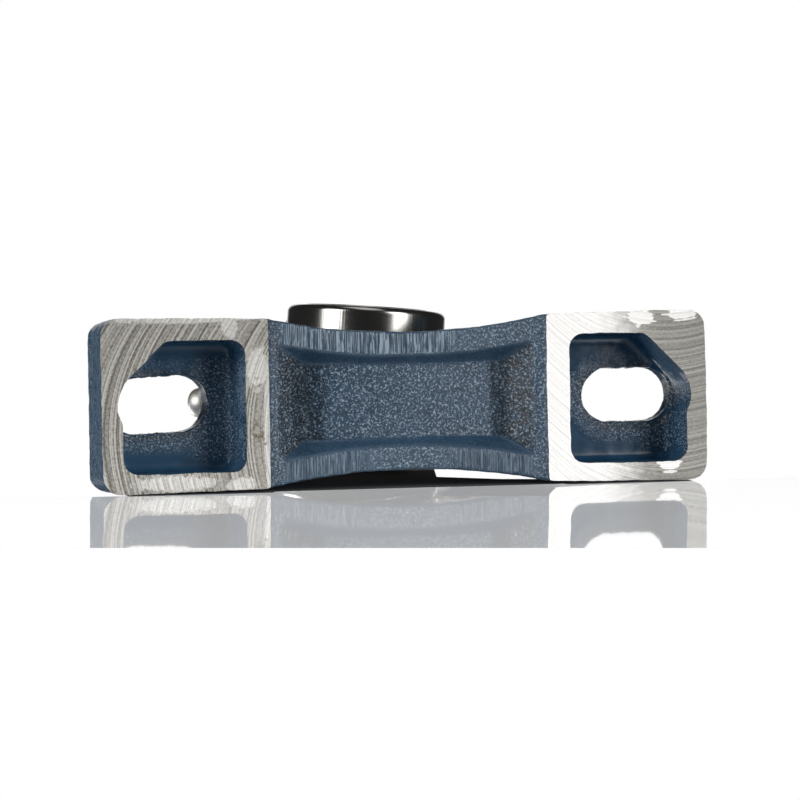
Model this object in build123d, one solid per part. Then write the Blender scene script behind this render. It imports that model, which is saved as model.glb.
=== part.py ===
from build123d import *
import math
import os

# A cast two-bolt pillow block with a self-aligning ball bearing insert, for a
# 25 mm shaft.  Millimetres and degrees.  +Z is up, X runs along the base, the
# shaft lies along Y, and the origin is the middle of the base's underside.
# "Front" is the -Y side, where the inner ring is long and holds its screws.

# ---- Housing casting -------------------------------------------------------
waist_length = 59.6             # between the two machined pads
foot_length = 35.2              # of each pad, along X
base_width = 36.0               # across the outer ends of the feet
foot_narrowing = 0.5            # of each side of a foot, from its end to the waist
waist_hollow = 3.15             # how far each side of the waist curves in
foot_height = 16.0
foot_corner_radius = 4.0
foot_end_straight = 1.0         # of full width, before the corners round
casting_draft = 2.0             # degrees, on every wall drawn from the mould
rim_recess = 0.8                # the waist's rims stand this far above the pads
flange_height = 6.5             # of the waist, above the base plane
shaft_height = 36.5
head_wall = 7.5                 # outside the insert's largest diameter
head_width = 21.0
head_edge_radius = 2.0
shoulder_step = 10.2            # from a pad's inner edge to where the shoulder rises
shoulder_sink = 0.3             # how far below the feet's tops the shoulders level out
foot_slope_run = 9.0            # the feet's inner ends roll down over this length
foot_edge_radius = 1.6
root_radius = 3.0               # where the head's faces meet the flange
waist_overlap = 3.0             # how far waist and feet are drawn into each other
cut_overrun = 1.0               # how far a cutting shape runs past what it cuts
edge_slack = 2.0                # how far from its nominal line an edge may lie to be rounded
shortest_edge = 0.5             # that is rounded

# ---- Mounting slots, one in each foot --------------------------------------
slot_inset = 14.0               # from the base's end to the slot's middle
slot_length = 19.5
slot_width = 11.5
slot_relief = 0.7               # round the slot's core print, inside the hollow

# ---- Hollows cast into the feet --------------------------------------------
pocket_inner_wall = 5.0         # between the pocket and the pad's inner edge
pocket_end_wall = 4.5           # at the base's outer end
pocket_front_wall = 4.9
pocket_rear_wall = 4.2
pocket_roof = 5.0               # left above the pocket, round the slot
pocket_corner_radius = 3.0
pocket_web_length = 9.0         # leg of the solid corner that takes a dowel pin
pocket_roof_radius = 1.5
dowel_mark_diameter = 4.0
dowel_mark_tip_diameter = 0.7
dowel_mark_depth = 0.8

# ---- Channel under the waist -----------------------------------------------
channel_rim = 4.4               # width of the rims beside it
channel_end_run = 8.0           # length of its sloped ends
channel_end_margin = 0.6        # from the pad's edge to the top of the sloped end
channel_middle_depth = 3.2      # above the base plane, under the shaft
channel_end_depth = 5.2
channel_wall_slope = 36.0       # degrees, of its side walls

# ---- Seat for the insert ---------------------------------------------------
seat_clearance = 0.04           # all round the insert's spherical outside
seat_mouth_chamfer = 0.5
grease_groove_width = 9.6
grease_groove_depth = 0.8
filling_slot_clearance = 0.6    # over the insert's width, to slip it in edgewise

# ---- Insert bearing --------------------------------------------------------
bore_diameter = 25.0
inner_ring_wall = 4.35
outer_ring_wall = 3.6           # outside the seals' seats, over the balls
outer_ring_width = 15.0
inner_ring_front = 19.8         # from the middle of the balls to the screws' end
inner_ring_rear = 14.3
ball_diameter = 7.938
ball_count = 9
ball_middle_height = 2.4        # of the balls' middles above the inner ring's outside
race_conformity = 0.52          # groove radius over ball diameter
ball_play = 0.02                # between a ball and each groove
outer_shoulder_height = 2.15    # of the outer ring's bore beyond the balls' middles
ring_chamfer = 0.6
inner_ring_corner_radius = 1.4
inner_ring_land_width = 0.6     # raised land round the bore, on the end faces
inner_ring_land_height = 0.25
grease_hole_diameter = 1.2
grease_hole_offset = 4.1        # to each side of the balls' middle
insert_tilt = 4.6               # how far the loose insert is swivelled about Z

# ---- Cage ------------------------------------------------------------------
cage_radial_gap = 0.6           # to the inner ring and to the outer ring
cage_pocket_play = 0.15
cage_back_wall = 0.8            # behind the balls
cage_finger_length = 2.3        # past the balls' middle
cage_notch_width = 1.8
cage_notch_depth = 3.4

# ---- Seals and flingers, one of each at both ends --------------------------
seal_seat_ledge = 1.0           # between the outer ring's bore and the seal's seat
seal_seat_depth = 2.1
press_gap = 0.01                # between two pieces pressed together
shell_thickness = 0.5
shell_rim_width = 1.8
lip_reach = 1.95                # of the rubber, from the shell's hole to the inner ring
lip_play = 0.05                 # between the rubber lip and the inner ring
lip_thickness = 0.7
lip_overlap = 1.2               # of rubber on the steel shell
flinger_thickness = 0.5
flinger_gap = 0.3               # to the seal, and to the shell's rim
flinger_collar_length = 1.6

# ---- Set screws ------------------------------------------------------------
set_screw_diameter = 6.0
set_screw_length = 4.2
set_screw_offset = 5.5          # from the inner ring's front face
set_screw_angle = 60.0          # each side of straight up
set_screw_retreat = 0.4         # of its point from the bore
set_screw_play = 0.03
set_screw_point_diameter = 2.4  # of the hollow in its point
set_screw_socket = 3.0          # across flats
set_screw_socket_depth = 2.2
set_screw_chamfer = 0.5

# ---- Grease nipple ---------------------------------------------------------
nipple_angle = 45.0             # from straight up towards -X
nipple_spot_depth = 0.6         # of its spot face, below the head's outside
nipple_seat_diameter = 11.0
nipple_thread_diameter = 6.0
nipple_thread_length = 5.3
nipple_thread_play = 0.02
nipple_hole_spare = 0.4         # of tapped depth below the thread's end
nipple_passage_diameter = 3.0
nipple_thread_lead = 0.5
nipple_hexagon = 7.0            # across flats
nipple_hexagon_height = 3.0
nipple_neck_diameter = 4.6
nipple_neck_height = 5.0        # end of the neck, above the spot face
nipple_head_diameter = 6.5
nipple_head_middle = 6.8        # its widest place, above the spot face
nipple_height = 9.4
nipple_nose_diameter = 3.6
nipple_bore_diameter = 2.4
nipple_mouth_diameter = 1.5
nipple_mouth_depth = 0.35
nipple_feed_diameter = 1.6
nipple_ball_diameter = 2.0
nipple_ball_play = 0.02         # under its seat, and on its spring
nipple_ball_travel = 0.4
spring_wire = 0.3
spring_length = 5.0
spring_play = 0.25              # round the coil, inside the nipple's bore
spring_end_gap = 0.1            # left under the spring with the ball pushed right in


# ---- Sizes that follow from the ones above ---------------------------------
foot_inner_edge = waist_length / 2
base_end = foot_inner_edge + foot_length
slot_place = base_end - slot_inset
shoulder_start = foot_inner_edge + shoulder_step
full_width_place = base_end - foot_corner_radius - foot_end_straight
foot_flare = foot_narrowing / (full_width_place - foot_inner_edge)
neck_half_width = base_width / 2 - foot_narrowing
waist_half_width = neck_half_width - waist_hollow
bore_radius = bore_diameter / 2
inner_ring_radius = bore_radius + inner_ring_wall
pitch_radius = inner_ring_radius + ball_middle_height
outer_shoulder_radius = pitch_radius + outer_shoulder_height
seal_seat_radius = outer_shoulder_radius + seal_seat_ledge
insert_radius = seal_seat_radius + outer_ring_wall
seat_radius = insert_radius + seat_clearance
head_radius = insert_radius + head_wall
nipple_seat_radius = head_radius - nipple_spot_depth
ball_radius = ball_diameter / 2
race_radius = race_conformity * ball_diameter
inner_race_middle = pitch_radius - ball_radius - ball_play + race_radius
outer_race_middle = pitch_radius + ball_radius + ball_play - race_radius
seal_inner_face = outer_ring_width / 2 - seal_seat_depth
shell_hole_radius = inner_ring_radius + lip_reach
flinger_inner_face = seal_inner_face + shell_thickness + lip_thickness + flinger_gap
set_screw_place = inner_ring_front - set_screw_offset
nipple_mouth_edge = nipple_height - nipple_mouth_depth
nipple_ball_middle = (nipple_mouth_edge - nipple_ball_play
                      - math.sqrt(nipple_ball_diameter**2 - nipple_mouth_diameter**2) / 2)
spring_radius = nipple_bore_diameter / 2 - spring_play - spring_wire / 2
spring_top = nipple_ball_middle - math.sqrt(
    (nipple_ball_diameter / 2 + nipple_ball_play)**2 - (spring_radius - spring_wire / 2)**2)
spring_seat = spring_top - spring_length - nipple_ball_travel - spring_end_gap


def mirror_pair(shape, plane):
    """The shape together with its mirror image."""
    return shape + mirror(shape, about=plane)


def revolved(profile):
    """A ring turned about Y from a profile drawn as X = radius, Y = place along the shaft."""
    return revolve(profile, axis=Axis.Y)


def closed(points):
    """A face inside straight lines through the points."""
    return make_face(Polyline(*points, close=True))


# ---- Housing ---------------------------------------------------------------
def waist_outline():
    """The waist's plan: hollowed by an arc on each side, and run on into the feet."""
    middle = waist_half_width
    neck = neck_half_width
    end = neck + foot_flare * waist_overlap
    half_length = foot_inner_edge + waist_overlap
    edges = Curve()
    for side in (-1, 1):
        edges += Line((-half_length * side, -end * side), (-foot_inner_edge * side, -neck * side))
        edges += ThreePointArc(
            (-foot_inner_edge * side, -neck * side),
            (0, -middle * side),
            (foot_inner_edge * side, -neck * side),
        )
        edges += Line((foot_inner_edge * side, -neck * side), (half_length * side, -end * side))
        edges += Line((half_length * side, -end * side), (half_length * side, end * side))
    return make_face(edges)


def waist():
    """The flange that joins the feet under the head, with a rounded top edge."""
    block = extrude(waist_outline(), amount=flange_height, taper=casting_draft)
    top_edges = block.edges().group_by(Axis.Z)[-1].filter_by(GeomType.CIRCLE)
    return fillet(top_edges, foot_edge_radius)


def foot():
    """The right foot: a drafted block whose inner end rolls down to the waist."""
    inner_half = neck_half_width - foot_flare * waist_overlap
    inner_end = foot_inner_edge - waist_overlap
    plan = closed([
        (inner_end, -inner_half),
        (full_width_place, -base_width / 2),
        (base_end, -base_width / 2),
        (base_end, base_width / 2),
        (full_width_place, base_width / 2),
        (inner_end, inner_half),
    ])
    outer_corners = plan.vertices().sort_by(Axis.X)[-2:]
    plan = fillet(outer_corners, foot_corner_radius)
    block = extrude(plan, amount=foot_height, taper=casting_draft)
    roll_end = foot_inner_edge + foot_slope_run
    beyond = base_end + cut_overrun
    side = make_face(Curve() + [
        Line((foot_inner_edge, 0), (beyond, 0)),
        Line((beyond, 0), (beyond, foot_height)),
        Line((beyond, foot_height), (roll_end, foot_height)),
        Spline((roll_end, foot_height), (foot_inner_edge, flange_height),
               tangents=[(-1, 0), (-1, 0)]),
        Line((foot_inner_edge, flange_height), (foot_inner_edge, 0)),
    ])
    rolled = block & extrude(Plane.XZ * side, amount=base_width, both=True)

    def in_crown(edge):
        # along the sides or round the outer end, and not down a wall
        place = edge.center()
        outer = abs(place.Y) > inner_half - edge_slack or place.X > roll_end + edge_slack
        high = min(corner.Z for corner in edge.vertices()) > flange_height - edge_slack
        return outer and high and edge.length > shortest_edge

    return fillet(rolled.edges().filter_by(in_crown), foot_edge_radius)


def head():
    """The ring round the insert and the shoulders that flow from it to the feet."""
    rise = shaft_height - foot_height + shoulder_sink
    shoulder_radius = (shoulder_start**2 + rise**2 - head_radius**2) / (2 * (head_radius + rise))
    reach = math.hypot(shoulder_start, rise - shoulder_radius)
    touch_x = head_radius * shoulder_start / reach
    touch_z = shaft_height - head_radius * (rise - shoulder_radius) / reach
    floor = rim_recess
    edges = Curve()
    edges += ThreePointArc((-touch_x, touch_z), (0, shaft_height + head_radius), (touch_x, touch_z))
    for side in (-1, 1):
        bend_middle = Vector(shoulder_start * side, shaft_height - rise + shoulder_radius)
        start = Vector(shoulder_start * side, shaft_height - rise)
        touch = Vector(touch_x * side, touch_z)
        halfway = (start + touch) * 0.5 - bend_middle
        middle = bend_middle + halfway.normalized() * shoulder_radius
        edges += ThreePointArc(touch, middle, start)
        edges += Line(start, (shoulder_start * side, floor))
    edges += Line((-shoulder_start, floor), (shoulder_start, floor))
    block = extrude(Plane.XZ * make_face(edges), amount=head_width / 2, both=True)
    rim = block.edges().filter_by(GeomType.CIRCLE)
    return fillet(rim, head_edge_radius)


def foot_pocket():
    """What is hollowed out of the right foot, with its solid front corner left in."""
    left = foot_inner_edge + pocket_inner_wall
    right = base_end - pocket_end_wall
    front = -base_width / 2 + pocket_front_wall
    rear = base_width / 2 - pocket_rear_wall
    plan = closed([
        (left, front),
        (right - pocket_web_length, front),
        (right, front + pocket_web_length),
        (right, rear),
        (left, rear),
    ])
    plan = fillet(plan.vertices(), pocket_corner_radius)
    hollow = extrude(plan, amount=foot_height - pocket_roof, taper=casting_draft)
    return fillet(hollow.edges().group_by(Axis.Z)[-1], pocket_roof_radius)


def foot_slot():
    """The bolt slot through the right foot, with its wider core print in the hollow."""
    slot = extrude(SlotOverall(slot_length, slot_width), amount=foot_height + cut_overrun)
    print_length = slot_length + 2 * slot_relief
    print_width = slot_width + 2 * slot_relief
    core_print = extrude(SlotOverall(print_length, print_width), amount=foot_height - pocket_roof)
    return Pos(slot_place, 0, 0) * (slot + core_print)


def dowel_mark():
    """The dimple on the right foot that shows where a dowel pin may be drilled."""
    inset = (foot_corner_radius + pocket_web_length) / 2
    cone = Cone(dowel_mark_tip_diameter / 2, dowel_mark_diameter / 2, dowel_mark_depth,
                align=(Align.CENTER, Align.CENTER, Align.MAX))
    return Pos(base_end - inset, inset - base_width / 2, foot_height) * cone


def channel():
    """The shallow trough under the waist, deeper where it runs towards the feet."""
    top_end = foot_inner_edge - channel_end_margin
    low_end = top_end - channel_end_run
    middle = waist_half_width - channel_rim
    neck = neck_half_width - channel_rim
    edges = Curve()
    for side in (-1, 1):
        edges += ThreePointArc(
            (-top_end * side, -neck * side),
            (0, -middle * side),
            (top_end * side, -neck * side),
        )
        edges += Line((top_end * side, -neck * side), (top_end * side, neck * side))
    trough = extrude(make_face(edges), amount=middle, taper=channel_wall_slope)
    side_view = make_face(Curve() + [
        Line((-top_end, 0), (-low_end, channel_end_depth)),
        ThreePointArc((-low_end, channel_end_depth), (0, channel_middle_depth), (low_end, channel_end_depth)),
        Line((low_end, channel_end_depth), (top_end, 0)),
        Line((top_end, 0), (-top_end, 0)),
    ])
    return trough & extrude(Plane.XZ * side_view, amount=base_width, both=True)


def seat():
    """The hollow sphere that the insert swivels in, its grease groove and its mouths."""
    half = head_width / 2
    edge = half - seat_mouth_chamfer
    edge_radius = math.sqrt(seat_radius**2 - edge**2)
    mouth = revolved(closed([
        (0, edge),
        (edge_radius, edge),
        (edge_radius + 2 * seat_mouth_chamfer, half + seat_mouth_chamfer),
        (0, half + seat_mouth_chamfer),
    ]))
    groove = Cylinder(seat_radius + grease_groove_depth, grease_groove_width)
    return Sphere(seat_radius) + Rot(90, 0, 0) * groove + mirror_pair(mouth, Plane.XZ)


def filling_slots():
    """The pair of slots behind the seat that the insert goes in through, edge first."""
    depth = head_width / 2
    disc = Rot(90, 0, 0) * Cylinder(seat_radius, depth)
    window = Box(2 * head_radius, depth, outer_ring_width + filling_slot_clearance)
    return Pos(0, depth / 2, 0) * (disc & window)


def nipple_hole():
    """The spot face, tapped hole and grease passage, drawn upright from the shaft's axis."""
    tapped_depth = nipple_thread_length + nipple_hole_spare
    tapped_radius = nipple_thread_diameter / 2 + nipple_thread_play
    spot = low_cylinder(nipple_seat_diameter / 2, nipple_spot_depth + cut_overrun)
    tapped = Pos(0, 0, -tapped_depth) * low_cylinder(tapped_radius, tapped_depth)
    passage_depth = nipple_seat_radius - seat_radius + cut_overrun
    passage = Pos(0, 0, -passage_depth) * low_cylinder(nipple_passage_diameter / 2, passage_depth)
    return Rot(0, -nipple_angle, 0) * Pos(0, 0, nipple_seat_radius) * (spot + tapped + passage)


def low_cylinder(radius, height):
    """A cylinder that stands on its origin."""
    return Cylinder(radius, height, align=(Align.CENTER, Align.CENTER, Align.MIN))


def housing():
    """The whole casting, machined."""
    casting = head() + waist() + mirror_pair(foot(), Plane.YZ)
    side = head_width / 2
    roots = casting.edges().filter_by(
        lambda e: math.isclose(abs(e.center().Y), side)
        and rim_recess + edge_slack < e.center().Z < foot_height)
    casting = fillet(roots, root_radius)
    rims = Box(2 * foot_inner_edge, 2 * base_width, 2 * rim_recess)
    casting -= [rims, channel()]
    casting -= mirror_pair(foot_pocket() + foot_slot() + dowel_mark(), Plane.YZ)
    bored = seat() + filling_slots() + nipple_hole()
    return casting - Pos(0, 0, shaft_height) * bored


# ---- Insert bearing, drawn about the origin with its shaft along Y ---------
def outer_ring():
    """The ring with the spherical outside, a ball groove and a seat for each seal."""
    half = outer_ring_width / 2
    edge = math.sqrt(insert_radius**2 - half**2)
    lip = math.sqrt(insert_radius**2 - (half - ring_chamfer)**2)
    profile = make_face(Curve() + [
        Line((outer_shoulder_radius, seal_inner_face), (seal_seat_radius, seal_inner_face)),
        Line((seal_seat_radius, seal_inner_face), (seal_seat_radius, half)),
        Line((seal_seat_radius, half), (edge - ring_chamfer, half)),
        Line((edge - ring_chamfer, half), (lip, half - ring_chamfer)),
        ThreePointArc((lip, half - ring_chamfer), (insert_radius, 0), (lip, ring_chamfer - half)),
        Line((lip, ring_chamfer - half), (edge - ring_chamfer, -half)),
        Line((edge - ring_chamfer, -half), (seal_seat_radius, -half)),
        Line((seal_seat_radius, -half), (seal_seat_radius, -seal_inner_face)),
        Line((seal_seat_radius, -seal_inner_face), (outer_shoulder_radius, -seal_inner_face)),
        Line((outer_shoulder_radius, -seal_inner_face), (outer_shoulder_radius, seal_inner_face)),
    ])
    profile -= Pos(outer_race_middle, 0) * Circle(race_radius)
    wall = insert_radius - outer_shoulder_radius
    hole = low_cylinder(grease_hole_diameter / 2, wall + 2 * cut_overrun)
    holes = [
        Rot(0, -nipple_angle, 0)
        * Pos(0, side * grease_hole_offset, outer_shoulder_radius - cut_overrun) * hole
        for side in (-1, 1)
    ]
    return revolved(profile) - holes


def end_face_points(sign, length):
    """The corner, slope and land of one end face of the inner ring, from the bore outwards."""
    bore = bore_radius
    land = bore + inner_ring_land_width
    face = length - inner_ring_land_height
    return [
        (bore, sign * (length - inner_ring_land_height)),
        (bore + inner_ring_land_height, sign * length),
        (land, sign * length),
        (land + inner_ring_land_height, sign * face),
    ]


def inner_ring():
    """The long ring that takes the shaft, with two tapped holes near its front end."""
    front = -inner_ring_front
    rear = inner_ring_rear
    corner = inner_ring_corner_radius
    low = end_face_points(-1, inner_ring_front)
    high = end_face_points(1, inner_ring_rear)
    low_face = front + inner_ring_land_height
    high_face = rear - inner_ring_land_height
    outside = inner_ring_radius
    profile = make_face(Curve() + [
        Polyline(*low, (outside - corner, low_face)),
        RadiusArc((outside - corner, low_face), (outside, low_face + corner), -corner),
        Line((outside, low_face + corner), (outside, high_face - corner)),
        RadiusArc((outside, high_face - corner), (outside - corner, high_face), -corner),
        Polyline((outside - corner, high_face), *reversed(high)),
        Line(high[0], low[0]),
    ])
    profile -= Pos(inner_race_middle, 0) * Circle(race_radius)
    hole = low_cylinder(set_screw_diameter / 2 + set_screw_play, inner_ring_radius + cut_overrun)
    holes = [place_set_screw(side, hole) for side in (-1, 1)]
    return revolved(profile) - holes


def place_set_screw(side, shape):
    """Turns a shape drawn upright over the shaft's axis to where one set screw goes."""
    return Pos(0, -set_screw_place, 0) * Rot(0, side * set_screw_angle, 0) * shape


def set_screw():
    """A socket screw with a cup point, upright, its point just clear of the bore."""
    radius = set_screw_diameter / 2
    chamfer = set_screw_chamfer
    tip = bore_radius + set_screw_retreat
    profile = closed([
        (0, chamfer),
        (set_screw_point_diameter / 2, 0),
        (radius - 2 * chamfer, 0),
        (radius, 2 * chamfer),
        (radius, set_screw_length - chamfer),
        (radius - chamfer, set_screw_length),
        (0, set_screw_length),
    ])
    body = revolve(Plane.XZ * profile, axis=Axis.Z)
    socket = Pos(0, 0, set_screw_length - set_screw_socket_depth) * extrude(
        RegularPolygon(set_screw_socket / 2, 6, major_radius=False), amount=set_screw_length)
    return Pos(0, 0, tip) * (body - socket)


def ball_places():
    """The turn about the shaft of each ball."""
    return [360 / ball_count * index for index in range(ball_count)]


def ball(turn):
    """One ball, on the pitch circle."""
    return Rot(0, turn, 0) * Pos(0, 0, pitch_radius) * Sphere(ball_radius)


def cage():
    """A one-piece snap cage: a ring behind the balls, with fingers that hook past them."""
    inner = inner_ring_radius + cage_radial_gap
    outer = outer_shoulder_radius - cage_radial_gap
    pocket_radius = ball_radius + cage_pocket_play
    back = -pocket_radius - cage_back_wall
    ring = revolved(closed([
        (inner, back), (outer, back), (outer, cage_finger_length), (inner, cage_finger_length),
    ]))
    pockets = [Rot(0, turn, 0) * Pos(0, 0, pitch_radius) * Sphere(pocket_radius) for turn in ball_places()]
    notch = Box(cage_notch_width, 2 * cage_notch_depth, 2 * outer)
    half_turn = 180 / ball_count
    notches = [
        Rot(0, turn + half_turn, 0) * Pos(0, cage_finger_length, pitch_radius) * notch
        for turn in ball_places()
    ]
    return ring - pockets - notches


def seal_shell():
    """The pressed steel washer that holds the seal, pushed into the outer ring."""
    rim = seal_seat_radius - press_gap
    inner_face = seal_inner_face + press_gap
    return revolved(closed([
        (shell_hole_radius, inner_face),
        (rim, inner_face),
        (rim, inner_face + shell_rim_width),
        (rim - shell_thickness, inner_face + shell_rim_width),
        (rim - shell_thickness, inner_face + shell_thickness),
        (shell_hole_radius, inner_face + shell_thickness),
    ]))


def seal_lip():
    """The rubber ring bonded to the shell, tapered to the edge that wipes the inner ring."""
    start = seal_inner_face + 2 * press_gap + shell_thickness
    hole = inner_ring_radius + lip_play
    root = shell_hole_radius
    return revolved(closed([
        (hole, start),
        (hole + lip_thickness / 2, start - shell_thickness),
        (root - press_gap, start - shell_thickness),
        (root - press_gap, start),
        (root + lip_overlap, start),
        (root + lip_overlap, start + lip_thickness),
        (hole + lip_thickness, start + lip_thickness),
    ]))


def flinger():
    """The pressed steel disc on the inner ring that throws dirt clear of the seal."""
    hole = inner_ring_radius + press_gap
    rim = seal_seat_radius - shell_thickness - flinger_gap
    return revolved(closed([
        (hole, flinger_inner_face),
        (rim, flinger_inner_face),
        (rim, flinger_inner_face + flinger_thickness),
        (hole + flinger_thickness, flinger_inner_face + flinger_thickness),
        (hole + flinger_thickness, flinger_inner_face + flinger_collar_length),
        (hole, flinger_inner_face + flinger_collar_length),
    ]))


# ---- Grease nipple, drawn upright over its spot face -----------------------
def hexagon(across_flats, height):
    """A hexagon standing on its origin, its upper corners turned off at 30 degrees."""
    prism = extrude(RegularPolygon(across_flats / 2, 6, major_radius=False), amount=height)
    corner = across_flats / math.sqrt(3)
    turned = revolve(Plane.XZ * closed([
        (0, 0), (corner, 0), (corner, height - (corner - across_flats / 2) * math.tan(math.radians(30))),
        (across_flats / 2, height), (0, height),
    ]), axis=Axis.Z)
    return prism & turned


def nipple_body():
    """Thread, hexagon, neck and ball head in one piece, bored from end to end."""
    thread = nipple_thread_diameter / 2
    neck = nipple_neck_diameter / 2
    widest = nipple_head_diameter / 2
    nose = nipple_nose_diameter / 2
    lead = nipple_thread_lead
    outside = make_face(Curve() + [
        Polyline((0, -nipple_thread_length), (thread - lead, -nipple_thread_length),
                 (thread, lead - nipple_thread_length), (thread, 0), (neck, 0), (neck, nipple_neck_height)),
        Spline((neck, nipple_neck_height), (widest, nipple_head_middle), (nose, nipple_height),
               tangents=[(1, 0.6), (-1, 0.35)]),
        Polyline((nose, nipple_height), (0, nipple_height), (0, -nipple_thread_length)),
    ])
    solid = revolve(Plane.XZ * outside, axis=Axis.Z) + hexagon(nipple_hexagon, nipple_hexagon_height)
    mouth = low_cylinder(nipple_mouth_diameter / 2, 2 * nipple_mouth_depth)
    chamber = low_cylinder(nipple_bore_diameter / 2, nipple_mouth_edge - spring_seat)
    feed = low_cylinder(nipple_feed_diameter / 2, nipple_height + nipple_thread_length)
    return solid - [
        Pos(0, 0, nipple_mouth_edge) * mouth,
        Pos(0, 0, spring_seat) * chamber,
        Pos(0, 0, spring_seat - nipple_height - nipple_thread_length) * feed,
    ]


def nipple_spring():
    """The sleeve that the spring's coils fill, its lower end free by the ball's travel."""
    outside = spring_radius + spring_wire / 2
    sleeve = low_cylinder(outside, spring_length) - low_cylinder(outside - spring_wire, spring_length)
    return Pos(0, 0, spring_top - spring_length) * sleeve


# ---- Placing and writing ---------------------------------------------------
def in_insert(shape):
    """Moves a piece drawn about the origin to the seat, swivelled as the loose insert is."""
    return Pos(0, 0, shaft_height) * Rot(0, 0, insert_tilt) * shape


def on_spot_face(shape):
    """Moves a piece drawn upright to the nipple's spot face."""
    return Pos(0, 0, shaft_height) * Rot(0, -nipple_angle, 0) * Pos(0, 0, nipple_seat_radius) * shape


def rear(shape):
    """The same piece for the rear end of the insert."""
    return Rot(0, 0, 180) * shape


def all_pieces():
    """Every piece by its name, where it belongs."""
    pieces = {
        "housing": housing(),
        "outer_ring": in_insert(outer_ring()),
        "inner_ring": in_insert(inner_ring()),
        "cage": in_insert(cage()),
        "nipple_body": on_spot_face(nipple_body()),
        "nipple_ball": on_spot_face(Pos(0, 0, nipple_ball_middle) * Sphere(nipple_ball_diameter / 2)),
        "nipple_spring": on_spot_face(nipple_spring()),
    }
    for number, turn in enumerate(ball_places(), start=1):
        pieces[f"ball_{number}"] = in_insert(ball(turn))
    for name, shape in {"seal_shell": seal_shell(), "seal_lip": seal_lip(), "flinger": flinger()}.items():
        pieces[f"{name}_front"] = in_insert(rear(shape))
        pieces[f"{name}_rear"] = in_insert(shape)
    for name, side in {"set_screw_left": -1, "set_screw_right": 1}.items():
        pieces[name] = in_insert(place_set_screw(side, set_screw()))
    return pieces


os.makedirs("parts", exist_ok=True)
for name, shape in all_pieces().items():
    export_step(shape, f"parts/{name}.step")
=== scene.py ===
import bpy
import bmesh
import math
import numpy as np
from mathutils import Matrix, Vector, noise


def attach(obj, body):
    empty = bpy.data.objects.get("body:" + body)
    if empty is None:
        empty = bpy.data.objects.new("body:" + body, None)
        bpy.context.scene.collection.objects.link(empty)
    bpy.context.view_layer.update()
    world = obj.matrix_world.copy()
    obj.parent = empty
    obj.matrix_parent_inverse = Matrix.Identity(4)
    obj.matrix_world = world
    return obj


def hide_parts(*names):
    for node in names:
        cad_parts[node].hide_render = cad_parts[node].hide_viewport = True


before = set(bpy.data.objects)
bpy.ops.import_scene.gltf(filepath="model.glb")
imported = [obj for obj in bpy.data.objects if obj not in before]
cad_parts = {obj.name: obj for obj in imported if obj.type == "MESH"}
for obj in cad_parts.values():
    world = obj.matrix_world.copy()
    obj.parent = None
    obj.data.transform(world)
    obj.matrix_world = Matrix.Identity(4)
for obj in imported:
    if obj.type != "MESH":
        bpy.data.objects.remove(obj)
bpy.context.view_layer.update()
scene = bpy.context.scene
scene.view_settings.view_transform = "Standard"

# ---- Camera ----------------------------------------------------------------
# It looks at the underside of the base from a little to the left, with the
# block laid on the rear sides of its feet.
camera_data = bpy.data.cameras.new("camera")
camera_data.sensor_width = 36.0
camera_data.lens = 204.8
camera_data.clip_end = 20.0
camera = bpy.data.objects.new("camera", camera_data)
camera.location = (-0.26466, -0.00706, -0.89880)
camera.rotation_euler = [math.radians(angle) for angle in (179.911, 16.290, 1.190)]
scene.collection.objects.link(camera)
scene.camera = camera

# ---- Table -----------------------------------------------------------------
# A white glossy sheet under the block, which has tipped back on it until the
# rear end of the inner ring touches.  A dark mat under the waist is painted
# shade, and a grey strip in front of it is a painted reflection of the housing
# in the sheet.  All three show from their upper side alone.
sheet_lean = 0.0605          # of its Y over its Z, as far as the block has tipped
sheet_at_feet = 0.01803      # its Y in the plane of the pads
overlay_height = 0.00002     # of the mat and the strip above the sheet
sheet_edge = [(-0.1120, -0.0960), (0.0340, -0.1435), (0.0930, -0.1000), (0.0930, 0.0), (-0.0950, 0.0)]
shade_mat_edge = [(0.0610, -0.0020), (0.0610, 0.0120), (0.0345, 0.0120), (0.0241, 0.0157), (0.0130, 0.0251),
            (0.0206, 0.0530), (-0.0060, 0.0620), (-0.0285, 0.0120), (-0.0600, 0.0120),
            (-0.0600, -0.0020), (-0.0300, -0.0020), (-0.0290, 0.0), (0.0330, 0.0), (0.0335, -0.0020)]
reflection_strip_edge = [(0.0001, -0.0199), (0.0208, -0.0267), (0.0320, 0.0), (0.0085, 0.0)]


def place_object(data, name):
    """An object for a mesh or a lamp, linked into the scene."""
    placed = bpy.data.objects.new(name, data)
    scene.collection.objects.link(placed)
    return placed


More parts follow.
